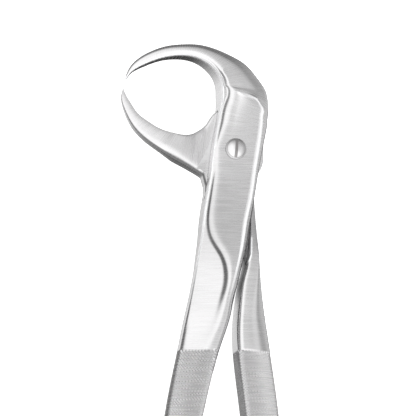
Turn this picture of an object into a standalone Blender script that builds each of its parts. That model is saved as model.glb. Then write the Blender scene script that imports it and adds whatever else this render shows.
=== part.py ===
"""Extraction forceps with cowhorn beaks for lower molars.

Two forged halves cross at a half-lap joint and turn on a slotted screw.
The forceps lie flat: the joint axis is +Z through the origin, the table is
z = 0, the handles run towards -Y and the beaks point towards -X.

Each half is one lofted skin. A row of the loft is a nine-cornered section
laid across the forging, and its corners run on along the half as the
character lines of the forging: the rim, the foot and the top of the step
beside the joint face, the edge of that face, and the outer side. The halves
are then milled to each other where they cross.
"""

import math

import bmesh
import bpy
import numpy as np

MM = 0.001

# ---------------------------------------------------------------- sizes, mm
JOINT_DEPTH = 12.0          # front face to back face where the halves cross
LAP_GAP = 0.3               # between the two halves, face to face
TURN_GAP = 0.4              # between a half and the shoulder it turns past
OPENING_DEG = 22.0          # how far the halves open from the closed stop

DISC_RADIUS = 13.4          # rear half's round joint plate
SCREW_HEAD_RADIUS = 3.25
SCREW_HEAD_RISE = 1.25      # top of the dome above the front face
SCREW_RIM_HEIGHT = 0.45     # straight side of the head, below the dome
SCREW_SHANK_RADIUS = 2.4
BORE_GAP = 0.1              # round the shank and under the head
SLOT_WIDTH = 0.9
SLOT_DEPTH = 0.75
SLOT_TILT_DEG = 4.0
TAIL_CHAMFER = 0.3

STEP_PROUD = 0.3            # joint face above the beak root
TOP_EDGE_WIDTH = 0.35       # slope from the joint face down to the beak root
INNER_LEAN = 0.5            # foot of the inner side stands in from its rim

RIM_ROUND = 0.45
STEP_FOOT_ROUND = 0.6
STEP_TOP_ROUND = 2.2
FACE_EDGE_ROUND = 0.3
SIDE_ROUND = 1.2
GRIP_EDGE_ROUND = 0.7
HANDLE_ROUND = 2.6           # handle's outer side, once the step has faded
BACK_ROUND = 0.5
SOFT_ROUND = 20.0           # as round as the corner's neighbours allow

HANDLE_START = -46.0        # y where the joint's shanks become handles
HANDLE_LENGTH = 91.5        # from there to the last full section
END_DOME = 5.0              # length of the rounded end of a handle

CORNER_STEPS = 2            # facets of a rounded corner
EDGE_STEPS = (2, 1, 1, 2, 1, 2, 1, 2, 1)
ROW_STEP = 2.2              # between rows in the beaks and the joint
GRIP_ROW_STEP = 4.5         # between rows in the handles
SCREW_SIDES = 48

MID = JOINT_DEPTH / 2
LAP_STOCK = MID + 0.2       # lap's height before it is milled
CUTTER_REACH = 40.0         # a milling cutter reaches this far past the work

# --------------------------------------------------------------- stations
# Rows of the loft from the beak's tip to the handle's end, in mm.
# Crowns: each front corner of a beak, as shares of its width and half depth.
FRONT_CROWN = ((0.00, 0.90), (0.18, 0.93), (0.42, 1.00), (0.74, 0.86), (1.00, 0.45))
REAR_CROWN = ((0.00, 0.90), (0.18, 0.96), (0.45, 1.00), (0.82, 0.93), (1.00, 0.52))
# Horn rows: rim x, y, outer side x, y, half depth, how square the back is.
FRONT_HORN = [
    (-33.40, 21.35, -33.70, 21.60, 0.35, 0.00),
    (-32.70, 22.50, -33.15, 23.35, 1.30, 0.00),
    (-31.30, 24.15, -31.85, 25.90, 2.15, 0.00),
    (-28.00, 26.20, -28.90, 28.70, 3.10, 0.00),
    (-24.40, 27.85, -25.00, 30.85, 3.70, 0.00),
    (-20.80, 28.95, -20.80, 32.30, 4.20, 0.00),
    (-17.00, 29.45, -16.30, 32.95, 4.60, 0.05),
    (-13.10, 29.15, -11.40, 33.10, 4.90, 0.10),
    (-9.60, 27.85, -6.20, 32.10, 5.20, 0.20),
    (-6.90, 25.75, -0.90, 30.05, 5.45, 0.35),
    (-5.20, 23.55, 4.00, 27.20, 5.60, 0.55),
    (-4.30, 21.35, 7.70, 22.95, 5.75, 0.80),
    (-4.08, 19.90, 10.20, 18.85, 5.80, 0.95),
]
REAR_HORN = [
    (-33.92, 18.75, -34.24, 18.55, 0.35, 0.00),
    (-33.30, 17.00, -34.75, 16.35, 0.90, 0.00),
    (-31.40, 13.45, -34.00, 12.20, 1.70, 0.00),
    (-29.70, 10.90, -32.70, 9.20, 2.30, 0.00),
    (-27.00, 8.70, -30.40, 5.90, 2.80, 0.00),
    (-23.50, 6.50, -27.00, 2.80, 3.20, 0.10),
    (-19.50, 5.15, -22.80, 0.00, 3.50, 0.30),
]
# Face rows: rim x, y, outer side x, y, ledge width, step width, outer slope
# width, step height, rim below face, side below face, foot above back, bow,
# share of the inner lean.
FRONT_FACE = [
    (-3.97, 18.30, 10.85, 13.35, 2.4, 1.0, 4.5, 1.1, 0.9, 3.0, 0.5, 1.0, 1.0),
    (-3.95, 16.90, 10.80, 11.75, 1.7, 1.1, 2.55, 1.15, 0.9, 3.0, 0.5, 0.8, 1.0),
    (-4.00, 15.20, 10.60, 10.20, 1.2, 1.2, 2.3, 1.2, 0.95, 3.0, 0.5, 0.6, 0.9),
    (-4.70, 12.00, 10.50, 8.60, 1.05, 1.2, 2.25, 1.2, 0.95, 2.8, 0.5, 0.3, 0.1),
    (-5.20, 9.00, 10.25, 7.00, 1.0, 1.2, 2.1, 1.0, 0.9, 2.6, 0.5, 0.1, 0.0),
    (-6.10, 4.60, 9.65, 4.20, 0.9, 1.2, 1.85, 0.5, 0.5, 2.3, 0.5, 0.0, 0.0),
    (-6.80, 0.50, 8.80, 0.30, 0.8, 1.2, 1.6, 0.2, 0.25, 2.0, 0.5, 0.0, 0.0),
    (-7.45, -4.90, 7.80, -4.90, 0.65, 1.2, 1.45, 0.4, 0.4, 1.8, 0.5, 0.0, 0.0),
    (-7.95, -9.60, 7.00, -9.60, 0.55, 1.1, 1.3, 0.8, 0.7, 1.6, 0.5, 0.0, 0.0),
    (-8.95, -15.80, 5.95, -15.80, 0.6, 1.1, 1.25, 1.0, 0.9, 1.5, 0.5, 0.0, 0.0),
    (-9.85, -22.10, 4.65, -22.10, 0.75, 1.2, 1.25, 1.15, 1.1, 1.4, 0.8, 0.0, 0.0),
    (-10.50, -28.30, 3.75, -28.30, 2.5, 1.7, 1.25, 1.4, 2.0, 1.4, 1.6, 0.0, 0.0),
    (-11.20, -32.90, 2.85, -32.90, 6.1, 1.5, 1.25, 1.5, 3.0, 1.4, 2.4, 0.0, 0.0),
    (-11.90, -37.60, 1.75, -37.60, 8.2, 1.4, 1.25, 1.5, 3.7, 1.4, 3.1, 0.0, 0.0),
    (-12.60, -41.50, 0.85, -41.50, 8.8, 1.4, 1.3, 1.35, 4.0, 1.4, 3.5, 0.0, 0.0),
    (-13.50, -46.00, -0.30, -46.00, 8.8, 1.6, 1.4, 1.1, 4.1, 1.4, 3.8, 0.0, 0.0),
]
# Root and lap rows: rim x, y, outer side x, y, rise from the lap towards the
# front face, back height, roundness of the rim side's back edge.
REAR_ROOT = [
    (-15.80, 4.75, -18.30, -2.40, 0.43, 1.5, 2.4),
    (-12.90, 5.20, -14.60, -4.50, 0.24, 0.6, 2.4),
    (-10.60, 6.50, -11.80, -6.00, 0.08, 0.1, 2.2),
    (-8.10, 8.60, -10.10, -6.95, 0.00, 0.0, 1.6),
]
REAR_LAP = [
    (9.90, 3.00, -8.50, -11.40, 0.00, 0.0, 0.6),
    (9.85, -1.20, -8.50, -12.40, 0.00, 0.0, 0.6),
    (9.00, -4.90, -8.55, -13.40, 0.00, 0.0, 0.6),
    (7.30, -7.70, -8.65, -14.50, 0.00, 0.0, 0.6),
    (6.70, -12.00, -6.60, -17.70, 0.10, 0.0, 0.6),
    (6.80, -19.50, -3.20, -22.90, 0.41, 0.0, 0.8),
    (7.05, -27.00, 0.30, -27.90, 0.76, 0.0, 1.0),
    (7.40, -33.00, 3.60, -32.50, 0.97, 0.0, 1.2),
]
# The round joint plate: angles of its edge, and the outer side meanwhile.
DISC_ANGLES = (114.0, 44.0)
DISC_SIDE = ((-9.25, -7.65), (-8.50, -10.30))
# Plan edge beyond which the rear neck stands at full depth.
NECK_EDGE = [(1.8, -39.5), (4.2, -32.6), (4.5, -28.0), (4.9, -21.0), (6.5, -13.0)]
# Neck rows, where the lap turns into the handle: outer side x, y, inner x,
# share of the handle's section.
REAR_NECK = [
    (7.95, -39.50, 2.60, 0.35),
    (8.85, -46.00, 1.40, 0.75),
]
# Handle rows: share of the handle's length, outer side x, inner side x, how
# much of the step is left.
FRONT_GRIP = [
    (0.066, -14.90, -1.60, 0.80),
    (0.153, -16.60, -4.20, 0.50),
    (0.284, -19.20, -7.60, 0.20),
    (0.426, -21.50, -10.40, 0.05),
    (0.590, -23.30, -12.40, 0.0),
    (0.732, -23.60, -12.90, 0.0),
    (0.874, -22.90, -12.60, 0.0),
    (1.000, -21.50, -11.70, 0.0),
]
REAR_GRIP = [
    (0.066, 9.85, 0.70, 0.0),
    (0.153, 11.10, 0.60, 0.0),
    (0.284, 12.90, 1.80, 0.0),
    (0.426, 14.50, 3.40, 0.0),
    (0.590, 15.60, 4.70, 0.0),
    (0.732, 15.50, 4.80, 0.0),
    (0.874, 14.40, 4.10, 0.0),
    (1.000, 12.60, 2.80, 0.0),
]


# --------------------------------------------------------------- sections
def lay(rim, side, corners, bow=0.0):
    """Lay corners (distance from rim, height, rounding) on a row in plan."""
    rim, side = np.array(rim), np.array(side)
    width = np.linalg.norm(side - rim)
    along = (side - rim) / width
    across = np.array((-along[1], along[0]))
    row = []
    for reach, height, rounding in corners:
        share = reach / width
        place = rim + along * reach + across * bow * 4 * share * (1 - share)
        row.append((place[0], place[1], height, rounding))
    return row


def mixed(first, second, share):
    """Corners part of the way from one section to another."""
    return [tuple(a + (b - a) * share for a, b in zip(p, q))
            for p, q in zip(first, second)]


def horn_row(crown, rim_x, rim_y, side_x, side_y, half, square):
    """A beak's section: flat inner face, crowned front, outer side and back."""
    width = math.hypot(side_x - rim_x, side_y - rim_y)
    lean = min(INNER_LEAN, 0.3 * half)
    low = MID - half
    front = [(reach * width, MID + rise * half, SOFT_ROUND) for reach, rise in crown]
    front[0] = (*front[0][:2], RIM_ROUND)
    round_back = (
        (width, MID - 0.45 * half, SOFT_ROUND),
        (0.72 * width, MID - 0.95 * half, SOFT_ROUND),
        (0.20 * width, MID - 1.02 * half, SOFT_ROUND),
        (-lean, MID - 0.72 * half, RIM_ROUND),
    )
    square_back = (
        (width, low + 0.6, BACK_ROUND),
        (width - 0.6, low, BACK_ROUND),
        (0.75, low, 2 * BACK_ROUND),
        (-lean, low + 0.5, BACK_ROUND),
    )
    back = mixed(round_back, square_back, square)
    return lay((rim_x, rim_y), (side_x, side_y), [back[-1], *front, *back[:-1]])


def face_row(rim_x, rim_y, side_x, side_y, ledge, step, slope, drop,
             rim_drop, side_drop, foot, bow, lean):
    """The front half's section where the joint face stands on it."""
    width = math.hypot(side_x - rim_x, side_y - rim_y)
    top = JOINT_DEPTH
    return lay((rim_x, rim_y), (side_x, side_y), (
        (-lean * INNER_LEAN, foot, BACK_ROUND),
        (0.0, top - rim_drop, RIM_ROUND),
        (ledge, top - drop, STEP_FOOT_ROUND),
        (ledge + step, top, STEP_TOP_ROUND),
        (width - slope, top, FACE_EDGE_ROUND),
        (width, top - side_drop, SIDE_ROUND),
        (width, 0.6, BACK_ROUND),
        (width - 0.6, 0.0, BACK_ROUND),
        (0.9 * foot + 0.3, 0.0, BACK_ROUND + foot),
    ), bow)


def root_row(rim_x, rim_y, side_x, side_y, rise, back, edge):
    """The rear half's section from the beak's root across the lap."""
    width = math.hypot(side_x - rim_x, side_y - rim_y)
    top = LAP_STOCK + rise * (JOINT_DEPTH - LAP_STOCK)
    round_over = min(1.0, 0.4 * (top - back) / 2)
    return lay((rim_x, rim_y), (side_x, side_y), (
        (0.0, back + edge, BACK_ROUND + edge),
        (0.0, top - 0.3, RIM_ROUND),
        (0.10 * width, top, STEP_TOP_ROUND),
        (0.30 * width, top, STEP_TOP_ROUND),
        (0.80 * width, top, SOFT_ROUND),
        (width, top - 1.8 * round_over, SIDE_ROUND),
        (width, back + 0.6, BACK_ROUND),
        (width - 0.6, back, BACK_ROUND),
        (edge, back, BACK_ROUND + edge),
    ))


def softened(face_round, step):
    """A rounding of the joint face that grows to the handle's as the step fades."""
    return face_round + (HANDLE_ROUND - face_round) * (1 - step)


def grip_row(share, side_x, inner_x, step):
    """A handle's section: tall inner face, half-round outer side."""
    width = abs(inner_x - side_x)
    row_y = HANDLE_START - share * HANDLE_LENGTH
    foot, crest = (0.32 + 0.34 * step) * width, (0.58 + 0.22 * step) * width
    low, high = 0.22 * JOINT_DEPTH, 0.78 * JOINT_DEPTH
    return lay((side_x, row_y), (inner_x, row_y), (
        (0.0, low, softened(BACK_ROUND, step)),
        (0.0, high, softened(RIM_ROUND, step)),
        (foot, (0.95 - 0.04 * step) * JOINT_DEPTH, softened(STEP_FOOT_ROUND, step)),
        (crest, JOINT_DEPTH, softened(STEP_TOP_ROUND, step)),
        (0.90 * width, JOINT_DEPTH, GRIP_EDGE_ROUND),
        (width, JOINT_DEPTH - 0.9, GRIP_EDGE_ROUND),
        (width, 0.9, GRIP_EDGE_ROUND),
        (0.90 * width, 0.0, GRIP_EDGE_ROUND),
        (0.55 * width, 0.0, HANDLE_ROUND),
    ))


def neck_row(side_x, row_y, inner_x, share):
    """A rear row between the lap's section and the handle's."""
    lap = root_row(side_x, row_y, inner_x, row_y, 1.0, 0.0, 1.2)
    along = (HANDLE_START - row_y) / HANDLE_LENGTH
    return mixed(lap, grip_row(along, side_x, inner_x, 0.0), share)


# ----------------------------------------------------------------- lofting
def smooth_spline(knots, values, places):
    """Natural cubic spline through values at knots, read at places."""
    count = len(knots)
    gaps = np.diff(knots)
    slopes = np.diff(values, axis=0) / gaps[:, None]
    matrix = np.eye(count)
    right = np.zeros_like(values)
    for i in range(1, count - 1):
        matrix[i, i - 1:i + 2] = gaps[i - 1], 2 * (gaps[i - 1] + gaps[i]), gaps[i]
        right[i] = 6 * (slopes[i] - slopes[i - 1])
    bends = np.linalg.solve(matrix, right)
    spans = np.clip(np.searchsorted(knots, places, side="right") - 1, 0, count - 2)
    gap = gaps[spans][:, None]
    ahead = knots[spans + 1][:, None] - places[:, None]
    behind = places[:, None] - knots[spans][:, None]
    first, last = values[spans], values[spans + 1]
    bend_a, bend_b = bends[spans], bends[spans + 1]
    return (bend_a * ahead**3 / (6 * gap) + bend_b * behind**3 / (6 * gap)
            + (first / gap - bend_a * gap / 6) * ahead
            + (last / gap - bend_b * gap / 6) * behind)


def level_spline(knots, values, places):
    """Cubic through values at knots that never swings past a value."""
    gaps = np.diff(knots)[:, None]
    slopes = np.diff(values, axis=0) / gaps
    tangents = np.zeros_like(values)
    same_way = slopes[:-1] * slopes[1:] > 0
    mean = 2 * slopes[:-1] * slopes[1:]
    total = np.where(same_way, slopes[:-1] + slopes[1:], 1.0)
    tangents[1:-1] = np.where(same_way, mean / total, 0.0)
    tangents[0], tangents[-1] = slopes[0], slopes[-1]
    spans = np.clip(np.searchsorted(knots, places, side="right") - 1, 0, len(knots) - 2)
    gap = gaps[spans]
    t = (places - knots[spans])[:, None] / gap
    return ((2 * t**3 - 3 * t**2 + 1) * values[spans]
            + (t**3 - 2 * t**2 + t) * gap * tangents[spans]
            + (3 * t**2 - 2 * t**3) * values[spans + 1]
            + (t**3 - t**2) * gap * tangents[spans + 1])


def knots_of(stations):
    """Distance of each station along the half, by its longer side."""
    moves = np.linalg.norm(np.diff(stations[:, (1, 5), :2], axis=0), axis=2)
    return np.concatenate(((0.0,), np.cumsum(moves.max(axis=1))))


def row_places(knots, first_grip, extra):
    """Where rows lie: at each station, and evenly between stations."""
    places = list(extra)
    for i in range(len(knots) - 1):
        step = ROW_STEP if i < first_grip else GRIP_ROW_STEP
        count = max(1, round((knots[i + 1] - knots[i]) / step))
        places += list(np.linspace(knots[i], knots[i + 1], count, endpoint=False))
    places.append(knots[-1])
    return np.array(sorted(places))


def rounded_loop(corners, rounds):
    """A section's outline: each corner rounded, each edge divided."""
    count = len(corners)
    edges = [corners[(i + 1) % count] - corners[i] for i in range(count)]
    lengths = [max(np.linalg.norm(edge), 1e-6) for edge in edges]
    loop = []
    for i in range(count):
        ahead, back = edges[i] / lengths[i], -edges[i - 1] / lengths[i - 1]
        start = corners[i] + back * min(rounds[i], 0.44 * lengths[i - 1])
        end = corners[i] + ahead * min(rounds[i], 0.44 * lengths[i])
        for k in range(CORNER_STEPS + 1):
            t = k / CORNER_STEPS
            loop.append((1 - t)**2 * start + 2 * t * (1 - t) * corners[i] + t * t * end)
        after = corners[(i + 1) % count] - ahead * min(
            rounds[(i + 1) % count], 0.44 * lengths[i])
        for k in range(1, EDGE_STEPS[i]):
            loop.append(end + (after - end) * k / EDGE_STEPS[i])
    return loop


def end_dome(row, heading, steps=4):
    """Rows that close a handle's end in a dome."""
    centre = np.mean(row, axis=0)
    rows = []
    for i in range(1, steps + 1):
        angle = math.radians(84) * i / steps
        middle = centre + heading * END_DOME * math.sin(angle)
        rows.append([middle + (p - centre) * math.cos(angle)**0.8 for p in row])
    return rows


def loft(name, stations, first_grip, face_top=None):
    """Skin one half over its stations and close both ends."""
    stations = np.array(stations)
    knots = knots_of(stations)
    extra = [] if face_top is None else [knots[face_top] - TOP_EDGE_WIDTH]
    places = row_places(knots, first_grip, extra)
    flat = stations.reshape(len(stations), -1)
    plan = smooth_spline(knots, flat, places).reshape(len(places), -1, 4)
    level = level_spline(knots, flat, places).reshape(len(places), -1, 4)
    corners = np.concatenate((plan[:, :, :2], level[:, :, 2:3]), axis=2)
    if face_top is not None:
        before = np.clip((knots[face_top] - places) / TOP_EDGE_WIDTH, 0, 1)
        corners[:, 2:5, 2] -= STEP_PROUD * before[:, None]
    rows = [rounded_loop(c, r) for c, r in zip(corners, level[:, :, 3])]
    heading = np.mean(rows[-1], axis=0) - np.mean(rows[-2], axis=0)
    rows += end_dome(rows[-1], heading / np.linalg.norm(heading))

    mesh = bmesh.new()
    rings = [[mesh.verts.new(p * MM) for p in row] for row in rows]
    for ring, following in zip(rings, rings[1:]):
        for k in range(len(ring)):
            n = (k + 1) % len(ring)
            mesh.faces.new((ring[k], ring[n], following[n], following[k]))
    for ring, row in ((rings[0], rows[0]), (rings[-1], rows[-1])):
        pole = mesh.verts.new(np.mean(row, axis=0) * MM)
        for k in range(len(ring)):
            mesh.faces.new((ring[k], ring[(k + 1) % len(ring)], pole))
    return finish_mesh(mesh, name)


# ------------------------------------------------------------ scene objects
def finish_mesh(mesh, name, cutter=False):
    """Turn a bmesh into an object with its faces pointing out."""
    bmesh.ops.triangulate(mesh, faces=[f for f in mesh.faces if len(f.verts) > 3])
    bmesh.ops.recalc_face_normals(mesh, faces=mesh.faces)
    data = bpy.data.meshes.new(name)
    mesh.to_mesh(data)
    mesh.free()
    thing = bpy.data.objects.new(name, data)
    bpy.context.scene.collection.objects.link(thing)
    if cutter:
        thing.hide_render = True
        thing.display_type = "WIRE"
    else:
        data.shade_smooth()
        data.set_sharp_from_angle(angle=math.radians(32))
    return thing


def prism(name, outline, low, high):
    """A milling cutter: an outline in plan between two heights."""
    mesh = bmesh.new()
    floor = [mesh.verts.new((x * MM, y * MM, low * MM)) for x, y in outline]
    roof = [mesh.verts.new((x * MM, y * MM, high * MM)) for x, y in outline]
    for i in range(len(outline)):
        n = (i + 1) % len(outline)
        mesh.faces.new((floor[i], floor[n], roof[n], roof[i]))
    mesh.faces.new(floor)
    mesh.faces.new(roof)
    return finish_mesh(mesh, name, cutter=True)


def turned(name, profile, sides, cutter=False):
    """A solid of revolution about the joint axis from (radius, height)."""
    mesh = bmesh.new()
    rings = []
    for radius, height in profile:
        angles = [2 * math.pi * k / sides for k in range(sides)]
        rings.append([mesh.verts.new((radius * math.cos(a) * MM,
                                      radius * math.sin(a) * MM,
                                      height * MM)) for a in angles])
    for ring, following in zip(rings, rings[1:]):
        for k in range(sides):
            n = (k + 1) % sides
            mesh.faces.new((ring[k], ring[n], following[n], following[k]))
    mesh.faces.new(rings[0])
    mesh.faces.new(rings[-1])
    return finish_mesh(mesh, name, cutter)


def cut(thing, cutter):
    """Take a cutter's space out of a solid."""
    modifier = thing.modifiers.new(cutter.name, "BOOLEAN")
    modifier.operation = "DIFFERENCE"
    modifier.solver = "EXACT"
    modifier.object = cutter


def steel(name, colour, roughness):
    """A metal finish."""
    material = bpy.data.materials.new(name)
    material.use_nodes = True
    shader = material.node_tree.nodes["Principled BSDF"]
    shader.inputs["Base Color"].default_value = (*colour, 1.0)
    shader.inputs["Metallic"].default_value = 1.0
    shader.inputs["Roughness"].default_value = roughness
    return material


def arc(radius, start_deg, end_deg, steps):
    """Points on a circle about the joint axis."""
    angles = np.radians(np.linspace(start_deg, end_deg, steps + 1))
    return [(radius * math.cos(a), radius * math.sin(a)) for a in angles]


def swung(point, degrees):
    """A plan point turned about the joint axis."""
    a = math.radians(degrees)
    x, y = point
    return x * math.cos(a) - y * math.sin(a), x * math.sin(a) + y * math.cos(a)


# ------------------------------------------------------------------ pieces
def disc_rows():
    """Rear rows over the round joint plate, fanned about the beak's root."""
    edge = arc(DISC_RADIUS, *DISC_ANGLES, steps=6)
    sides = np.linspace(*DISC_SIDE, len(edge))
    return [root_row(*rim, *side, 0.0, 0.0, 0.6) for rim, side in zip(edge, sides)]


def lap_line():
    """Lower edge of the rear half's lap, from the root to the handle."""
    return [(row[2], row[3]) for row in REAR_LAP[3:]]


def set_off(points, distance):
    """Plan points moved square to the line from the first to the last."""
    across_x, across_y = points[-1][0] - points[0][0], points[-1][1] - points[0][1]
    share = distance / math.hypot(across_x, across_y)
    return [(x + across_y * share, y - across_x * share) for x, y in points]


def front_half():
    """Upper beak, front joint plate and left handle."""
    stations = [horn_row(FRONT_CROWN, *row) for row in FRONT_HORN]
    stations += [face_row(*row) for row in FRONT_FACE]
    first_grip = len(stations)
    stations += [grip_row(*row) for row in FRONT_GRIP]
    half = loft("front_half", stations, first_grip, face_top=len(FRONT_HORN))
    shoulder = arc(DISC_RADIUS + TURN_GAP, 170.0, -10.0, 60)
    lower = set_off(lap_line(), TURN_GAP)
    lower = [(-CUTTER_REACH, lower[0][1])] + lower
    right = (CUTTER_REACH, lower[-1][1])
    outline = shoulder + [(CUTTER_REACH, shoulder[-1][1]), right] + lower[::-1]
    outline.append((-CUTTER_REACH, shoulder[0][1]))
    cut(half, prism("rear_half_space", outline, -CUTTER_REACH, MID + LAP_GAP / 2))
    bore_radius = SCREW_SHANK_RADIUS + BORE_GAP
    bore = ((bore_radius, -CUTTER_REACH), (bore_radius, CUTTER_REACH))
    cut(half, turned("front_bore", bore, SCREW_SIDES, cutter=True))
    return half


def rear_half():
    """Lower beak, rear joint plate and right handle."""
    stations = [horn_row(REAR_CROWN, *row) for row in REAR_HORN]
    stations += [root_row(*row) for row in REAR_ROOT]
    stations += disc_rows()
    stations += [root_row(*row) for row in REAR_LAP]
    stations += [neck_row(*row) for row in REAR_NECK]
    first_grip = len(stations)
    stations += [grip_row(*row) for row in REAR_GRIP]
    half = loft("rear_half", stations, first_grip)

    closed = [(row[0] - TURN_GAP - row[12] * INNER_LEAN, row[1]) for row in FRONT_FACE]
    opened = [swung(point, -OPENING_DEG) for point in closed[7:12]]
    neck = [(x + TURN_GAP, y) for x, y in NECK_EDGE]
    outline = [(closed[0][0], CUTTER_REACH)] + closed[1:6] + opened
    outline += [(-CUTTER_REACH, -CUTTER_REACH), (-2.0, -CUTTER_REACH - 12.0)]
    outline += neck + [(CUTTER_REACH, neck[-1][1]), (CUTTER_REACH, CUTTER_REACH)]
    cut(half, prism("front_half_space", outline, MID - LAP_GAP / 2, CUTTER_REACH))
    bore_radius = SCREW_SHANK_RADIUS + BORE_GAP
    bore = ((bore_radius, -CUTTER_REACH), (bore_radius, CUTTER_REACH))
    cut(half, turned("rear_bore", bore, SCREW_SIDES, cutter=True))
    return half


def pivot_screw():
    """Slotted screw: domed head on the front face, tail flush at the back."""
    seat = JOINT_DEPTH + BORE_GAP
    dome_low = seat + SCREW_RIM_HEIGHT
    dome_rise = JOINT_DEPTH + SCREW_HEAD_RISE - dome_low
    dome = []
    for degrees in (0, 22, 44, 64, 80):
        a = math.radians(degrees)
        dome.append((SCREW_HEAD_RADIUS * math.cos(a), dome_low + dome_rise * math.sin(a)))
    profile = [(SCREW_SHANK_RADIUS - TAIL_CHAMFER, 0.0), (SCREW_SHANK_RADIUS, TAIL_CHAMFER),
               (SCREW_SHANK_RADIUS, seat), (SCREW_HEAD_RADIUS, seat)] + dome
    screw = turned("pivot_screw", profile, SCREW_SIDES)
    reach = SCREW_HEAD_RADIUS + 1.0
    corners = ((-SLOT_WIDTH / 2, -reach), (SLOT_WIDTH / 2, -reach),
               (SLOT_WIDTH / 2, reach), (-SLOT_WIDTH / 2, reach))
    outline = [swung(corner, -SLOT_TILT_DEG) for corner in corners]
    top = JOINT_DEPTH + SCREW_HEAD_RISE
    cut(screw, prism("screw_slot", outline, top - SLOT_DEPTH, top + 5.0))
    return screw


def main():
    """Clear the scene and build the forceps."""
    for thing in list(bpy.data.objects):
        bpy.data.objects.remove(thing)
    satin = steel("satin_steel", (0.62, 0.62, 0.63), 0.32)
    bright = steel("screw_steel", (0.68, 0.68, 0.69), 0.22)
    front_half().data.materials.append(satin)
    rear_half().data.materials.append(satin)
    pivot_screw().data.materials.append(bright)


main()
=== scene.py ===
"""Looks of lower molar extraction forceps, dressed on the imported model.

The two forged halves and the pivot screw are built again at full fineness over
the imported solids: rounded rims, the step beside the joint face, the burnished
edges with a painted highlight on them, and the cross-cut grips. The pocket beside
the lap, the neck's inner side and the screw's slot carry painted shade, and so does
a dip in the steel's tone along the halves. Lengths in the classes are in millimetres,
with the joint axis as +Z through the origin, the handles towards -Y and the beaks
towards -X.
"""

import logging
import math
from dataclasses import dataclass, field
from enum import Enum

import bmesh
import bpy
import numpy as np
from mathutils import Matrix, Vector
from mathutils.kdtree import KDTree

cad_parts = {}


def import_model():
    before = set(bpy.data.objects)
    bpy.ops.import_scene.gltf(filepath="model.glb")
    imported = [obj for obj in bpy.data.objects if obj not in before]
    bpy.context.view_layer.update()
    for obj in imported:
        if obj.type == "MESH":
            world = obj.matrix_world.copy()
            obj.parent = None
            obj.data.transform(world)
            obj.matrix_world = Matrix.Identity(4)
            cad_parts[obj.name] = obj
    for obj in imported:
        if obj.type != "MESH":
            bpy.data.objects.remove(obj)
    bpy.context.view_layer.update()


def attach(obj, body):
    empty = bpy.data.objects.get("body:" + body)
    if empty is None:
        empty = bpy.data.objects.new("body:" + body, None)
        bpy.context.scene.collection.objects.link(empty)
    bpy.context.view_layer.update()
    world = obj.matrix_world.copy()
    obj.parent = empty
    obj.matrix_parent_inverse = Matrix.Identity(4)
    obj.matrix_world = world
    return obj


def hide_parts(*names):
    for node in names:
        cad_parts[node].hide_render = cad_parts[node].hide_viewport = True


MM = 0.001
LOG = logging.getLogger("forceps")

Corner = tuple[float, float, float, float]
Point = tuple[float, float]


# ------------------------------------------------------------------ splines
def smooth_spline(knots: np.ndarray, values: np.ndarray, places: np.ndarray) -> np.ndarray:
    """Read a natural cubic spline.

    Args:
        knots: Where the values stand, rising.
        values: One row of values per knot.
        places: Where the spline is read.

    Returns:
        One row of values per place.
    """
    count = len(knots)
    gaps = np.diff(knots)
    slopes = np.diff(values, axis=0) / gaps[:, None]
    matrix = np.eye(count)
    right = np.zeros_like(values)
    for i in range(1, count - 1):
        matrix[i, i - 1:i + 2] = gaps[i - 1], 2 * (gaps[i - 1] + gaps[i]), gaps[i]
        right[i] = 6 * (slopes[i] - slopes[i - 1])
    bends = np.linalg.solve(matrix, right)
    spans = np.clip(np.searchsorted(knots, places, side="right") - 1, 0, count - 2)
    gap = gaps[spans][:, None]
    ahead = knots[spans + 1][:, None] - places[:, None]
    behind = places[:, None] - knots[spans][:, None]
    first, last = values[spans], values[spans + 1]
    bend_a, bend_b = bends[spans], bends[spans + 1]
    return (bend_a * ahead**3 / (6 * gap) + bend_b * behind**3 / (6 * gap)
            + (first / gap - bend_a * gap / 6) * ahead
            + (last / gap - bend_b * gap / 6) * behind)


def level_spline(knots: np.ndarray, values: np.ndarray, places: np.ndarray) -> np.ndarray:
    """Read a cubic that never swings past the values it joins.

    Args:
        knots: Where the values stand, rising.
        values: One row of values per knot.
        places: Where the spline is read.

    Returns:
        One row of values per place.
    """
    gaps = np.diff(knots)[:, None]
    slopes = np.diff(values, axis=0) / gaps
    tangents = np.zeros_like(values)
    same_way = slopes[:-1] * slopes[1:] > 0
    mean = 2 * slopes[:-1] * slopes[1:]
    total = np.where(same_way, slopes[:-1] + slopes[1:], 1.0)
    tangents[1:-1] = np.where(same_way, mean / total, 0.0)
    tangents[0], tangents[-1] = slopes[0], slopes[-1]
    spans = np.clip(np.searchsorted(knots, places, side="right") - 1, 0, len(knots) - 2)
    gap = gaps[spans]
    t = (places - knots[spans])[:, None] / gap
    return ((2 * t**3 - 3 * t**2 + 1) * values[spans]
            + (t**3 - 2 * t**2 + t) * gap * tangents[spans]
            + (3 * t**2 - 2 * t**3) * values[spans + 1]
            + (t**3 - t**2) * gap * tangents[spans + 1])


def eased(value: np.ndarray, low: float, high: float) -> np.ndarray:
    """Ease from 0 at low to 1 at high."""
    t = np.clip((value - low) / (high - low), 0.0, 1.0)
    return t * t * (3 - 2 * t)


def arc(radius: float, start_deg: float, end_deg: float, steps: int) -> list[Point]:
    """Give points on a circle about the joint axis."""
    angles = np.radians(np.linspace(start_deg, end_deg, steps + 1))
    return [(float(radius * math.cos(a)), float(radius * math.sin(a))) for a in angles]


def swung(point: Point, degrees: float) -> Point:
    """Turn a plan point about the joint axis."""
    a = math.radians(degrees)
    x, y = point
    return x * math.cos(a) - y * math.sin(a), x * math.sin(a) + y * math.cos(a)


def set_off(points: list[Point], distance: float) -> list[Point]:
    """Move plan points square to the line from the first to the last."""
    run_x, run_y = points[-1][0] - points[0][0], points[-1][1] - points[0][1]
    share = distance / math.hypot(run_x, run_y)
    return [(x + run_y * share, y - run_x * share) for x, y in points]


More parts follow.
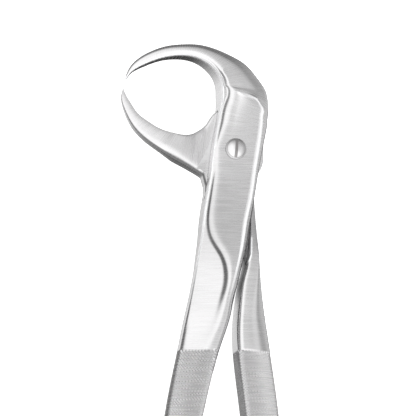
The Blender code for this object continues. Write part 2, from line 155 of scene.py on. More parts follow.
# ----------------------------------------------------------------- sections
@dataclass(frozen=True)
class Joint:
    """Sizes that both halves and the screw share."""

    depth: float = 12.0
    lap_gap: float = 0.3
    turn_gap: float = 0.4
    opening_deg: float = 22.0
    disc_radius: float = 13.4
    shank_radius: float = 2.4
    bore_gap: float = 0.1
    handle_start: float = -46.0
    handle_length: float = 91.5

    @property
    def mid(self) -> float:
        """Height of the plane where the halves meet."""
        return self.depth / 2

    @property
    def lap_stock(self) -> float:
        """Height of a lap before it is milled."""
        return self.mid + 0.2


JOINT = Joint()
GRIP_ROWS = 8


class Round(Enum):
    """How far a rounding reaches along the edges of a corner."""

    RIM = 0.65
    FOOT = 0.6
    CREST = 2.2
    FACE = 0.45
    SIDE = 1.2
    GRIP = 0.8
    HANDLE = 2.6
    BACK = 0.5
    SOFT = 20.0

    def softened(self, step: float) -> float:
        """Return this rounding, grown to the handle's as the step fades."""
        return self.value + (Round.HANDLE.value - self.value) * (1 - step)


def lay(rim: Point, side: Point, corners: list[tuple[float, float, float]],
        bow: float = 0.0) -> list[Corner]:
    """Lay a section's corners on a row in plan.

    Args:
        rim: Plan point of the rim side.
        side: Plan point of the outer side.
        corners: Distance from the rim, height and rounding of each corner.
        bow: How far the row's middle bows out.

    Returns:
        Plan x, y, height and rounding of each corner.
    """
    start, end = np.array(rim), np.array(side)
    width = float(np.linalg.norm(end - start))
    along = (end - start) / width
    across = np.array((-along[1], along[0]))
    row = []
    for reach, height, rounding in corners:
        share = reach / width
        place = start + along * reach + across * bow * 4 * share * (1 - share)
        row.append((float(place[0]), float(place[1]), height, rounding))
    return row


def mixed(first: list, second: list, share: float) -> list:
    """Give corners part of the way from one section to another."""
    return [tuple(a + (b - a) * share for a, b in zip(p, q))
            for p, q in zip(first, second)]


class Crown(Enum):
    """A beak's front corners: shares of its width and half depth, and roundings."""

    TIP = ((0.00, 0.86, 0.65), (0.14, 0.93, 20.0), (0.48, 1.00, 20.0), (0.74, 0.95, 20.0),
           (1.00, 0.68, 3.0))
    BEND = ((0.00, 0.91, 0.65), (0.05, 0.83, 0.25), (0.14, 0.985, 0.45),
            (0.62, 0.94, 20.0), (1.00, 0.48, 1.6))
    SHOULDER = ((0.00, 0.91, 0.5), (0.05, 0.83, 0.25), (0.14, 0.975, 0.6),
                (0.64, 0.95, 20.0), (1.00, 0.48, 1.2))
    REAR = ((0.00, 0.95, 0.65), (0.14, 0.99, 20.0), (0.45, 1.00, 20.0), (0.90, 0.93, 20.0),
            (1.00, 0.70, 3.0))
    ROOT = ((0.00, 0.95, 0.65), (0.12, 0.99, 20.0), (0.38, 1.00, 20.0), (0.78, 0.965, 0.9),
            (1.00, 0.75, 1.4))


@dataclass(frozen=True)
class HornRow:
    """A beak's section: flat inner face, crowned front, outer side and back."""

    rim_x: float
    rim_y: float
    side_x: float
    side_y: float
    half: float
    square: float = 0.0
    crown: Crown = Crown.TIP
    share: float = 0.0
    towards: Crown = Crown.BEND
    lean: float = 0.5

    def corners(self) -> list[Corner]:
        """Return the nine corners of the section."""
        width = math.hypot(self.side_x - self.rim_x, self.side_y - self.rim_y)
        half, mid = self.half, JOINT.mid
        lean, low = min(self.lean, 0.3 * half), mid - half
        soft, rim, back = Round.SOFT.value, Round.RIM.value, Round.BACK.value
        shape = mixed(self.crown.value, self.towards.value, self.share)
        front = [(reach * width, mid + rise * half, turn) for reach, rise, turn in shape]
        round_back = [
            (width, mid - 0.45 * half, soft),
            (0.72 * width, mid - 0.95 * half, soft),
            (0.20 * width, mid - 1.02 * half, soft),
            (-lean, mid - 0.72 * half, rim),
        ]
        square_back = [
            (width, low + 0.6, back),
            (width - 0.6, low, back),
            (0.75, low, 2 * back),
            (-lean, low + 0.5, back),
        ]
        rear = mixed(round_back, square_back, self.square)
        return lay((self.rim_x, self.rim_y), (self.side_x, self.side_y),
                   [rear[-1], *front, *rear[:-1]])


@dataclass(frozen=True)
class FaceRow:
    """The front half's section where the joint face stands on it."""

    rim_x: float
    rim_y: float
    side_x: float
    side_y: float
    ledge: float
    step: float
    slope: float
    drop: float
    rim_drop: float
    side_drop: float
    foot: float = 0.5
    bow: float = 0.0
    lean: float = 0.0

    def corners(self) -> list[Corner]:
        """Return the nine corners of the section."""
        width = math.hypot(self.side_x - self.rim_x, self.side_y - self.rim_y)
        top, back = JOINT.depth, Round.BACK.value
        return lay((self.rim_x, self.rim_y), (self.side_x, self.side_y), [
            (-self.lean / 2, self.foot, back),
            (0.0, top - self.rim_drop, Round.RIM.value),
            (self.ledge, top - self.drop, Round.FOOT.value),
            (self.ledge + self.step, top, Round.CREST.value),
            (width - self.slope, top, Round.FACE.value),
            (width, top - self.side_drop, Round.SIDE.value),
            (width, 0.6, back),
            (width - 0.6, 0.0, back),
            (0.9 * self.foot + 0.3, 0.0, back + self.foot),
        ], self.bow)


@dataclass(frozen=True)
class LapRow:
    """The rear half's section from the beak's root across the lap."""

    rim_x: float
    rim_y: float
    side_x: float
    side_y: float
    rise: float = 0.0
    back: float = 0.0
    edge: float = 0.6
    fall: float = 1.5

    def corners(self) -> list[Corner]:
        """Return the nine corners of the section."""
        width = math.hypot(self.side_x - self.rim_x, self.side_y - self.rim_y)
        top = JOINT.lap_stock + self.rise * (JOINT.depth - JOINT.lap_stock)
        round_over = min(1.0, 0.4 * (top - self.back) / 2)
        crest, back = Round.CREST.value, Round.BACK.value
        return lay((self.rim_x, self.rim_y), (self.side_x, self.side_y), [
            (0.0, self.back + self.edge, back + self.edge),
            (0.0, top - 0.3, Round.RIM.value),
            (0.10 * width, top, crest),
            (0.30 * width, top, crest),
            (width - 1.2 * self.fall * round_over, top, crest),
            (width, top - 0.72 * self.fall * round_over, Round.SIDE.value),
            (width, self.back + 0.6, back),
            (width - 0.6, self.back, back),
            (self.edge, self.back, back + self.edge),
        ])


@dataclass(frozen=True)
class GripRow:
    """A handle's section: tall inner face, half-round outer side."""

    share: float
    side_x: float
    inner_x: float
    step: float = 0.0

    def corners(self) -> list[Corner]:
        """Return the nine corners of the section."""
        width = abs(self.inner_x - self.side_x)
        row_y = JOINT.handle_start - self.share * JOINT.handle_length
        foot, crest = (0.32 + 0.34 * self.step) * width, (0.58 + 0.22 * self.step) * width
        deep, grip = JOINT.depth, Round.GRIP.value
        return lay((self.side_x, row_y), (self.inner_x, row_y), [
            (0.0, 0.22 * deep, Round.BACK.softened(self.step)),
            (0.0, 0.78 * deep, Round.RIM.softened(self.step)),
            (foot, (0.95 - 0.04 * self.step) * deep, Round.FOOT.softened(self.step)),
            (crest, deep, Round.CREST.softened(self.step)),
            (0.90 * width, deep, grip),
            (width, deep - 0.9, grip),
            (width, 0.9, grip),
            (0.90 * width, 0.0, grip),
            ((0.55 - 0.2 * self.step) * width, 0.0, Round.HANDLE.value),
        ])


@dataclass(frozen=True)
class NeckRow:
    """A rear section between the lap's and the handle's."""

    side_x: float
    row_y: float
    inner_x: float
    share: float

    def corners(self) -> list[Corner]:
        """Return the nine corners of the section."""
        lap = LapRow(self.side_x, self.row_y, self.inner_x, self.row_y, 1.0, 0.0, 1.2, 0.4)
        along = (JOINT.handle_start - self.row_y) / JOINT.handle_length
        return mixed(lap.corners(), GripRow(along, self.side_x, self.inner_x).corners(),
                     self.share)


# -------------------------------------------------------------- node trees
Socket = bpy.types.NodeSocket
Value = bpy.types.NodeSocket | float | None


class Graph:
    """Adds and links the nodes of one tree."""

    def __init__(self, tree: bpy.types.NodeTree) -> None:
        """Hold the tree's nodes and links."""
        self.nodes, self.links = tree.nodes, tree.links

    def node(self, kind: str, **given: Socket | float | tuple | str) -> bpy.types.Node:
        """Add a node.

        Args:
            kind: The node's type.
            given: What each input gets, by its name, with _ for a space.

        Returns:
            The node.
        """
        node = self.nodes.new(kind)
        for name, value in given.items():
            self.feed(node.inputs[name.replace("_", " ")], value)
        return node

    def feed(self, socket: Socket, value: Value | tuple | str) -> None:
        """Link a value to an input, or set the input to it."""
        if isinstance(value, bpy.types.NodeSocket):
            self.links.new(value, socket)
        elif value is not None:
            socket.default_value = value

    def math(self, operation: str, *values: Value) -> Socket:
        """Add a math node and return its result."""
        node = self.nodes.new("ShaderNodeMath")
        node.operation = operation
        for socket, value in zip(node.inputs, values):
            self.feed(socket, value)
        return node.outputs[0]

    def vector(self, operation: str, first: Socket | tuple,
               second: Socket | tuple | None = None) -> bpy.types.Node:
        """Add a vector math node."""
        node = self.nodes.new("ShaderNodeVectorMath")
        node.operation = operation
        self.feed(node.inputs[0], first)
        self.feed(node.inputs[1], second)
        return node

    def mapped(self, value: Socket, given: Point, wanted: Point = (0.0, 1.0),
               easing: str = "LINEAR") -> Socket:
        """Map a value from one range to another.

        Args:
            value: What is mapped.
            given: The range it comes from.
            wanted: The range it goes to.
            easing: How it moves between the ends.

        Returns:
            The mapped value.
        """
        node = self.nodes.new("ShaderNodeMapRange")
        node.interpolation_type = easing
        node.inputs["From Min"].default_value, node.inputs["From Max"].default_value = given
        node.inputs["To Min"].default_value, node.inputs["To Max"].default_value = wanted
        self.links.new(value, node.inputs["Value"])
        return node.outputs["Result"]

    def eased(self, value: Socket, given: Point, wanted: Point = (0.0, 1.0)) -> Socket:
        """Map a value from one range to another, easing at both ends."""
        return self.mapped(value, given, wanted, "SMOOTHSTEP")

    def product(self, first: Socket, second: Socket, base: Value = None) -> Socket:
        """Multiply two values, and add a third where there is one."""
        if base is None:
            return self.math("MULTIPLY", first, second)
        return self.math("MULTIPLY_ADD", first, second, base)


# ----------------------------------------------------------------- finishes
@dataclass(frozen=True)
class Mark:
    """What a mark does to a finish where a mesh attribute says so: a painted highlight on rubbed
    edges, painted shade in hollows.

    With a reach, it comes in between two places along the object's Y.
    """

    attribute: str
    colour: tuple[float, float, float]
    roughness: float
    metallic: float = 0.0
    reach: Point | None = None


@dataclass(frozen=True)
class SteelFinish:
    """Stainless steel brushed along a grain, with marks of painted highlight and painted shade,
    and a tone along Y that can dip in painted shade.
    """

    name: str
    slot: str
    colour: tuple[float, float, float]
    roughness: float
    grain_scale: tuple[float, float, float]
    grain_depth: float
    marks: tuple[Mark, ...]
    anisotropy: float = 0.0
    turned_grain: bool = False
    tone_and_shade: tuple[Point, ...] = ((0.0, 0.93), (1.0, 0.93))
    tone_and_shade_reach: Point = (-60.0, 30.0)
    cloud_scale: float = 160.0
    grain_tone: float = 0.20
    cloud_tone: float = 0.05
    grain_rough: float = 0.10
    cloud_rough: float = 0.06
    grain_height: float = 0.05

    @staticmethod
    def _shape(node: bpy.types.Node, marks: tuple[Point, ...]) -> None:
        """Give a curve node its points."""
        curve = node.mapping.curves[0]
        while len(curve.points) < len(marks):
            curve.points.new(0.5, 0.5)
        for point, mark in zip(curve.points, marks):
            point.location = mark
        node.mapping.update()

    def material(self) -> bpy.types.Material:
        """Build the node material.

        Returns:
            The finished material.
        """
        steel = bpy.data.materials.new(self.name)
        steel.use_nodes = True
        graph = Graph(steel.node_tree)
        shader = graph.nodes["Principled BSDF"]
        shader.inputs["Anisotropic"].default_value = self.anisotropy
        shader.inputs["Anisotropic Rotation"].default_value = 0.25

        grain = self._grain(graph)
        place = graph.node("ShaderNodeTexCoord").outputs["Object"]
        cloud = graph.node("ShaderNodeTexNoise", Scale=self.cloud_scale, Detail=3.0,
                           Vector=place).outputs["Fac"]
        along = graph.node("ShaderNodeSeparateXYZ", Vector=place).outputs["Y"]
        tone = graph.mapped(grain, (0.25, 0.75), (-0.5, 0.5))
        shade = graph.math("MULTIPLY_ADD", tone, self.grain_tone, 0.0)
        shade = graph.math("MULTIPLY_ADD", cloud, self.cloud_tone, shade)
        # A curve along the object's Y sets the steel's tone; where it dips, that is painted shade.
        tone_and_shade = graph.node("ShaderNodeFloatCurve")
        self._shape(tone_and_shade, self.tone_and_shade)
        low, high = self.tone_and_shade_reach
        graph.feed(tone_and_shade.inputs["Value"], graph.mapped(along, (low * MM, high * MM)))
        shade = graph.math("ADD", shade, tone_and_shade.outputs[0])
        tinted = graph.vector("SCALE", self.colour)
        graph.feed(tinted.inputs["Scale"], shade)
        rough = graph.math("MULTIPLY_ADD", tone, self.grain_rough,
                           self.roughness - self.cloud_rough / 2)
        rough = graph.math("MULTIPLY_ADD", cloud, self.cloud_rough, rough)
        colour, metal = tinted.outputs[0], 1.0
        # Each mark mixes in its colour: painted highlight on edges, painted shade in hollows.
        for mark in self.marks:
            amount = self._amount(graph, mark, along)
            worn = graph.nodes.new("ShaderNodeMix")
            worn.data_type = "RGBA"
            graph.feed(worn.inputs["Factor"], amount)
            graph.feed(worn.inputs["A"], colour)
            graph.feed(worn.inputs["B"], (*mark.colour, 1.0))
            colour = worn.outputs["Result"]
            rough = graph.math("MULTIPLY_ADD", amount, mark.roughness, rough)
            if mark.metallic:
                metal = graph.math("MULTIPLY_ADD", amount, mark.metallic, metal)
        graph.feed(shader.inputs["Base Color"], colour)
        graph.feed(shader.inputs["Roughness"], rough)
        graph.feed(shader.inputs["Metallic"], metal)

        bump = graph.node("ShaderNodeBump", Strength=self.grain_depth,
                          Distance=self.grain_height * MM, Height=grain)
        graph.feed(shader.inputs["Normal"], bump.outputs["Normal"])
        if not self.turned_grain:
            tangent = graph.node("ShaderNodeTangent")
            tangent.direction_type = "UV_MAP"
            tangent.uv_map = "brush"
            graph.feed(shader.inputs["Tangent"], tangent.outputs[0])
        return steel

    def _grain(self, graph: Graph) -> Socket:
        """Build the drawn-out noise of the brushing and return its value."""
        if self.turned_grain:
            place = graph.node("ShaderNodeTexCoord").outputs["Object"]
            level = graph.vector("MULTIPLY", place, (1.0, 1.0, 0.0)).outputs[0]
            reach = graph.vector("LENGTH", level).outputs["Value"]
            source = graph.node("ShaderNodeCombineXYZ", X=reach).outputs[0]
        else:
            brush = graph.node("ShaderNodeUVMap")
            brush.uv_map = "brush"
            source = brush.outputs[0]
        drawn = graph.node("ShaderNodeMapping", Vector=source, Scale=self.grain_scale)
        return graph.node("ShaderNodeTexNoise", Vector=drawn.outputs[0], Scale=1.0, Detail=5.0,
                          Roughness=0.62).outputs["Fac"]

    @staticmethod
    def _amount(graph: Graph, mark: Mark, along: Socket) -> Socket:
        """Read how much of a mark a point carries.

        Args:
            graph: The material's tree.
            mark: The mark.
            along: The object's Y.

        Returns:
            The amount.
        """
        carried = graph.node("ShaderNodeAttribute")
        carried.attribute_name = mark.attribute
        if mark.reach is None:
            return carried.outputs["Fac"]
        span = graph.mapped(along, (mark.reach[0] * MM, mark.reach[1] * MM))
        return graph.product(carried.outputs["Fac"], span)


# Painted highlight: the burnished rims and edges get a near-white colour, half as metallic and
# rougher, in place of the bright lines they catch.
BURNISH_HIGHLIGHT = Mark("burnish_highlight", (0.97, 0.97, 0.98), 0.22, -0.5)
# Painted shade: dark grey on the pocket beside the lap and on the neck's inner side, coming in
# from Y -20 to -29 mm, where the front half shades them.
POCKET_SHADE = Mark("milled", (0.24, 0.24, 0.245), 0.15, reach=(-20.0, -29.0))
# Painted shade: darker grey on the screw slot's floor and round the foot of its head, where they
# fall in shadow.
RECESS_SHADE = Mark("recess_shade", (0.36, 0.35, 0.35), 0.12)
# SATIN's tone curve dips over the joint plate and neck, darkest about Y -26 mm: painted shade
# there, the steel's own tone elsewhere.
SATIN = SteelFinish("satin_steel_finish", "satin_steel", (0.80, 0.795, 0.80), 0.27,
                    (0.10, 2.6, 1.0), 0.35, (POCKET_SHADE, BURNISH_HIGHLIGHT), 0.5,
                    tone_and_shade=((0.0, 0.92), (0.20, 0.90), (0.38, 0.74), (0.52, 0.80),
                            (0.70, 0.93), (1.0, 0.95)))
TURNED = SteelFinish("screw_steel_finish", "screw_steel", (0.84, 0.835, 0.84), 0.28,
                     (9000.0, 1.0, 1.0), 0.25, (RECESS_SHADE,), turned_grain=True)


# ------------------------------------------------------------------- meshes
def new_object(name: str, mesh: bpy.types.Mesh) -> bpy.types.Object:
    """Put a mesh in the scene under a name."""
    thing = bpy.data.objects.new(name, mesh)
    bpy.context.scene.collection.objects.link(thing)
    return thing


def closed_mesh(name: str, body: bmesh.types.BMesh) -> bpy.types.Mesh:
    """Turn a closed bmesh into a mesh whose faces point out."""
    bmesh.ops.recalc_face_normals(body, faces=body.faces)
    mesh = bpy.data.meshes.new(name)
    body.to_mesh(mesh)
    body.free()
    return mesh


def prism(name: str, outline: list[Point], low: float, high: float) -> bpy.types.Object:
    """Build a milling cutter: an outline in plan between two heights.

    Args:
        name: The cutter's name.
        outline: Plan points of its edge.
        low: Its lower height.
        high: Its upper height.

    Returns:
        The cutter, with its own brushing map.
    """
    body = bmesh.new()
    floor = [body.verts.new((x * MM, y * MM, low * MM)) for x, y in outline]
    roof = [body.verts.new((x * MM, y * MM, high * MM)) for x, y in outline]
    for i in range(len(outline)):
        n = (i + 1) % len(outline)
        body.faces.new((floor[i], floor[n], roof[n], roof[i]))
    body.faces.new(floor)
    body.faces.new(roof)
    bmesh.ops.recalc_face_normals(body, faces=body.faces)
    brush = body.loops.layers.uv.new("brush")
    # Every cutter face is marked as milled, and so carries the pocket's painted shade where it
    # lies in reach.
    milled = body.faces.layers.float.new("milled")
    for face in body.faces:
        face[milled] = 1.0
        flat = abs(face.normal.z) > 0.5
        for loop in face.loops:
            x, y, z = loop.vert.co / MM
            loop[brush].uv = (x, y) if flat else (x - y, z)
    return new_object(name, closed_mesh(name, body))


def lathe(name: str, profile: list[Point], sides: int) -> bpy.types.Object:
    """Turn a profile of radius and height about the joint axis.

    Args:
        name: The object's name.
        profile: Radius and height of each ring, from the bottom to the top.
        sides: How many sides a ring has.

    Returns:
        The closed solid.
    """
    body = bmesh.new()
    rings = []
    for radius, height in profile:
        angles = [2 * math.pi * k / sides for k in range(sides)]
        rings.append([body.verts.new((radius * math.cos(a) * MM, radius * math.sin(a) * MM,
                                      height * MM)) for a in angles])
    for ring, following in zip(rings, rings[1:]):
        for k in range(sides):
            n = (k + 1) % sides
            body.faces.new((ring[k], ring[n], following[n], following[k]))
    for ring in (rings[0], rings[-1]):
        pole = body.verts.new((0.0, 0.0, ring[0].co.z))
        for k in range(sides):
            body.faces.new((ring[k], ring[(k + 1) % sides], pole))
    return new_object(name, closed_mesh(name, body))


def finished(source: bpy.types.Object, name: str, cutters: list[bpy.types.Object],
             sharp_deg: float) -> bpy.types.Object:
    """Mill a solid, then keep the result as one plain mesh.

    Args:
        source: The solid, with any modifiers of its own.
        name: The finished piece's name.
        cutters: What is taken out of it.
        sharp_deg: Edges that turn more than this stay sharp.

    Returns:
        The finished piece. The source and the cutters are gone.
    """
    for cutter in cutters:
        milling = source.modifiers.new(cutter.name, "BOOLEAN")
        milling.operation = "DIFFERENCE"
        milling.solver = "EXACT"
        milling.object = cutter
    view = bpy.context.evaluated_depsgraph_get()
    mesh = bpy.data.meshes.new_from_object(source.evaluated_get(view), depsgraph=view)
    for thing in [source, *cutters]:
        bpy.data.objects.remove(thing)
    mesh.name = name
    mesh.shade_smooth()
    mesh.set_sharp_from_angle(angle=math.radians(sharp_deg))
    return new_object(name, mesh)


@dataclass(frozen=True)
class CrossCut:
    """Diamond teeth that two sets of crossing grooves leave on a grip."""

    pitch: float = 0.9
    groove_depth: float = 0.26
    polish: float = 0.035
    start_y: float = -62.0
    end_y: float = -133.0
    wrap: float = 0.80

    def tree(self) -> bpy.types.NodeTree:
        """Build the node tree that polishes a half and sinks the valleys between teeth.

        Returns:
            A tree with inputs for the groove depth, the polish and the steel.
        """
        tree = bpy.data.node_groups.new("cross_cut", "GeometryNodeTree")
        face = tree.interface
        face.new_socket("Geometry", in_out="INPUT", socket_type="NodeSocketGeometry")
        depth = face.new_socket("Groove Depth", in_out="INPUT", socket_type="NodeSocketFloat")
        depth.default_value = self.groove_depth * MM
        worn = face.new_socket("Polish", in_out="INPUT", socket_type="NodeSocketFloat")
        worn.default_value = self.polish * MM
        face.new_socket("Steel", in_out="INPUT", socket_type="NodeSocketMaterial")
        face.new_socket("Geometry", in_out="OUTPUT", socket_type="NodeSocketGeometry")
        graph = Graph(tree)
        given = graph.node("NodeGroupInput").outputs

        row, column = (self._named(graph, name, "INT") for name in ("row", "column"))
        valley = graph.math("MODULO", graph.math("ADD", row, column), 2.0)
        cut = graph.product(valley, self._named(graph, "grip", "FLOAT"))
        sink = graph.math("ADD", graph.product(cut, given["Groove Depth"]), given["Polish"])
        inward = graph.math("MULTIPLY", sink, -1.0)
        offset = graph.vector("SCALE", graph.node("GeometryNodeInputNormal").outputs[0])
        graph.feed(offset.inputs["Scale"], inward)
        move = graph.node("GeometryNodeSetPosition", Geometry=given["Geometry"],
                          Offset=offset.outputs[0])
        solid = graph.node("GeometryNodeRealizeInstances", Geometry=move.outputs["Geometry"])
        dress = graph.node("GeometryNodeSetMaterial", Geometry=solid.outputs["Geometry"],
                           Material=given["Steel"])
        graph.node("NodeGroupOutput", Geometry=dress.outputs["Geometry"])
        return tree

    def cut_into(self, thing: bpy.types.Object, steel: bpy.types.Material) -> None:
        """Put the teeth on a half.

        Args:
            thing: The half, with its row, column and grip attributes.
            steel: The material the tree sets.
        """
        cutter = thing.modifiers.new("cross_cut", "NODES")
        cutter.node_group = self.tree()
        values = {"Groove Depth": self.groove_depth * MM, "Polish": self.polish * MM,
                  "Steel": steel}
        for item in cutter.node_group.interface.items_tree:
            if item.item_type == "SOCKET" and item.in_out == "INPUT" and item.name in values:
                cutter[item.identifier] = values[item.name]

    @staticmethod
    def _named(graph: Graph, name: str, kind: str) -> Socket:
        """Read a mesh attribute."""
        node = graph.nodes.new("GeometryNodeInputNamedAttribute")
        node.data_type = kind
        node.inputs["Name"].default_value = name
        return node.outputs["Attribute"]


# -------------------------------------------------------------- the halves
@dataclass
class Forging:
    """One half of the forceps: a skin lofted over its sections, then milled."""

    name: str = ""
    body: str = ""
    row_step: float = 0.4
    top_edge_width: float = 0.5
    step_proud: float = 0.3
    end_dome: float = 5.0
    face_bow: float = 0.32
    # How strong the painted highlight on the rims is.
    rim_highlight: float = 1.0
    front_edge: float = 10.5
    # How far the painted highlight reaches from cut edges that break out through the front.
    edge_highlight_reach: float = 0.6
    cutter_reach: float = 40.0
    corner_steps: int = 5
    sharp_deg: float = 31.0
    bore_sides: int = 96
    edge_steps: tuple[int, ...] = (4, 3, 3, 10, 3, 5, 3, 5, 4)
    teeth: CrossCut = field(default_factory=CrossCut)

    def sections(self) -> tuple[list, int | None]:
        """Return the rows, and which of them starts the joint face, if one does."""
        raise NotImplementedError

    def cutters(self) -> list[bpy.types.Object]:
        """Return the milling cutters."""
        raise NotImplementedError

    def build(self, finish: SteelFinish, steel: bpy.types.Material) -> bpy.types.Object:
        """Loft, cross-cut, mill and dress the half.

        Args:
            finish: The finish it wears; not used.
            steel: That finish's material.

        Returns:
            The finished piece, riding on its body.
        """
        skin = self._loft()
        skin.data.materials.append(steel)
        self.teeth.cut_into(skin, steel)
        piece = finished(skin, self.name, self.cutters(), self.sharp_deg)
        piece.data.materials.clear()
        piece.data.materials.append(steel)
        self._wear_milled_edges(piece.data)
        for name in ("row", "column", "grip"):
            piece.data.attributes.remove(piece.data.attributes[name])
        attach(piece, self.body)
        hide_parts(f"{self.body}_half")
        return piece

    def bore(self) -> bpy.types.Object:
        """Return the cutter of the hole for the screw."""
        radius = JOINT.shank_radius + JOINT.bore_gap
        reach = self.cutter_reach
        return lathe(f"{self.name}_bore", [(radius, -reach), (radius, reach)],
                     self.bore_sides)

    def _wear_milled_edges(self, mesh: bpy.types.Mesh) -> None:
        """Keep milled edges sharp, and paint a highlight on those that break out through the
        front.

        Args:
            mesh: The milled half.
        """
        milled, burnish_highlight = mesh.attributes["milled"].data, mesh.attributes["burnish_highlight"].data
        sides: dict[tuple[int, int], set[bool]] = {}
        for face in mesh.polygons:
            for key in face.edge_keys:
                sides.setdefault(key, set()).add(milled[face.index].value > 0.5)
        front = []
        for edge in mesh.edges:
            if len(sides[edge.key]) == 2:
                edge.use_edge_sharp = True
                front += [v for v in edge.vertices if mesh.vertices[v].co.z > self.front_edge * MM]
        if not front:
            return
        tree = KDTree(len(front))
        for spot, vert in enumerate(front):
            tree.insert(mesh.vertices[vert].co, spot)
        tree.balance()
        for vert in mesh.vertices:
            away = tree.find(vert.co)[2] / MM
            if away < self.edge_highlight_reach:
                value = float(1 - eased(away, 0.1 * self.edge_highlight_reach, self.edge_highlight_reach))
                burnish_highlight[vert.index].value = max(burnish_highlight[vert.index].value, value)

    def _places(self, knots: np.ndarray, face_top: int | None) -> np.ndarray:
        """Say where the loft's rows lie along the half.

        Args:
            knots: Distance of each section along the half.
            face_top: The section that starts the joint face.

        Returns:
            Distances, rising.
        """
        start = self._grip_start(knots)
        if face_top is None:
            fine = np.linspace(0.0, start, round(start / self.row_step), endpoint=False)
        else:
            edge = knots[face_top]
            low = edge - self.top_edge_width
            count = round(low / self.row_step)
            upper = np.linspace(0.0, low, count, endpoint=False)
            bevel = np.linspace(low, edge, 5, endpoint=False)
            count = round((start - edge) / self.row_step)
            fine = np.concatenate((upper, bevel, np.linspace(edge, start, count, False)))
        grip = np.arange(start, knots[-1], self.teeth.pitch / 2)
        return np.concatenate((fine, grip))

    @staticmethod
    def _grip_start(knots: np.ndarray) -> float:
        """Return where the handle's rows start."""
        return float(knots[-GRIP_ROWS])

    def _loft(self) -> bpy.types.Object:
        """Skin the half over its sections and close both ends.

        Returns:
            The closed skin, with its brushing map and its attributes.
        """
        sections, face_top = self.sections()
        stations = np.array([section.corners() for section in sections])
        moves = np.linalg.norm(np.diff(stations[:, (1, 5), :2], axis=0), axis=2)
        knots = np.concatenate(((0.0,), np.cumsum(moves.max(axis=1))))
        places = self._places(knots, face_top)
        flat = stations.reshape(len(stations), -1)
        plan = smooth_spline(knots, flat, places).reshape(len(places), -1, 4)
        level = level_spline(knots, flat, places).reshape(len(places), -1, 4)
        corners = np.concatenate((plan[:, :, :2], level[:, :, 2:3]), axis=2)
        bow = np.zeros(len(places))
        if face_top is not None:
            edge = knots[face_top]
            ahead = 1 - eased(places, edge - self.top_edge_width, edge)
            flat_end = 1 - eased(places, 60.0, 85.0)
            bow = self.face_bow * (1 - ahead) * flat_end
            corners[:, 2:5, 2] -= (self.step_proud * ahead + bow)[:, None]
            corners[:, 5, 2] -= self.face_bow * eased(places, edge, edge + 8.0) * flat_end
        start = self._grip_start(knots)
        even = eased(places, start - 6.0, start + 12.0)
        rows = [self._bowed(self._loop(c, r, e), b)
                for c, r, e, b in zip(corners, level[:, :, 3], even, bow)]
        burnish_highlight = self._burnish_highlight(rows, knots, places, face_top)
        grip = [self._grip_share(row) for row in rows]

        heading = rows[-1].mean(axis=0) - rows[-2].mean(axis=0)
        tail = self._dome(rows[-1], heading, self.end_dome, 12)
        nose = self._dome(rows[0], rows[0].mean(axis=0) - rows[1].mean(axis=0), 0.25, 3)
        rows = nose[::-1] + rows + tail
        plain = np.zeros(len(rows[0]))
        burnish_highlight = [burnish_highlight[0]] * len(nose) + list(burnish_highlight) + [plain] * len(tail)
        grip = [plain] * len(nose) + grip + [plain] * len(tail)
        lengths = np.concatenate((places[0] + np.linspace(-0.3, -0.1, len(nose)), places,
                                  places[-1] + np.linspace(0.4, 6.0, len(tail))))
        return self._skin(rows, lengths, burnish_highlight, grip)

    def _skin(self, rows: list[np.ndarray], lengths: np.ndarray, burnish_highlight: list[np.ndarray],
              grip: list[np.ndarray]) -> bpy.types.Object:
        """Join the rows into a closed mesh.

        Args:
            rows: Points of each row.
            lengths: Distance of each row along the half.
            burnish_highlight: How much painted highlight each point gets.
            grip: Whether each point is on the toothed part.

        Returns:
            The skin.
        """
        body = bmesh.new()
        brush = body.loops.layers.uv.new("brush")
        milled = body.faces.layers.float.new("milled")
        row_no, column_no = (body.verts.layers.int.new(n) for n in ("row", "column"))
        burnish_highlighted, gripped = (body.verts.layers.float.new(n) for n in ("burnish_highlight", "grip"))
        count = len(rows[0])
        rings = []
        for i, row in enumerate(rows):
            ring = []
            for k, point in enumerate(row):
                vert = body.verts.new(point * MM)
                vert[row_no], vert[column_no] = i, k
                vert[burnish_highlighted], vert[gripped] = float(burnish_highlight[i][k]), float(grip[i][k])
                ring.append(vert)
            rings.append(ring)
        girths = []
        for row in rows:
            steps = np.linalg.norm(np.roll(row, -1, axis=0) - row, axis=1)
            girths.append(np.concatenate(((0.0,), np.cumsum(steps))))
        row_y = [row[:, 1].mean() for row in rows]
        for i in range(len(rings) - 1):
            for k in range(count):
                n = (k + 1) % count
                spots = [(i, k, k), (i, n, k + 1), (i + 1, n, k + 1), (i + 1, k, k)]
                if (i + k) % 2:
                    parts = ((0, 1, 2), (0, 2, 3))
                else:
                    parts = ((0, 1, 3), (1, 2, 3))
                for part in parts:
                    chosen = [spots[p] for p in part]
                    face = body.faces.new([rings[a][b] for a, b, _ in chosen])
                    # Each face gets the painted shade its half gives it.
                    face[milled] = self._painted_shade(row_y[i], k)
                    for loop, (a, _, c) in zip(face.loops, chosen):
                        loop[brush].uv = (girths[a][c], lengths[a])
        for ring, row, length in ((rings[0], rows[0], lengths[0]),
                                  (rings[-1], rows[-1], lengths[-1])):
            pole = body.verts.new(row.mean(axis=0) * MM)
            for k in range(count):
                face = body.faces.new((ring[k], ring[(k + 1) % count], pole))
                for loop in face.loops:
                    loop[brush].uv = (0.0, length)
        return new_object(f"{self.name}_skin", closed_mesh(f"{self.name}_skin", body))

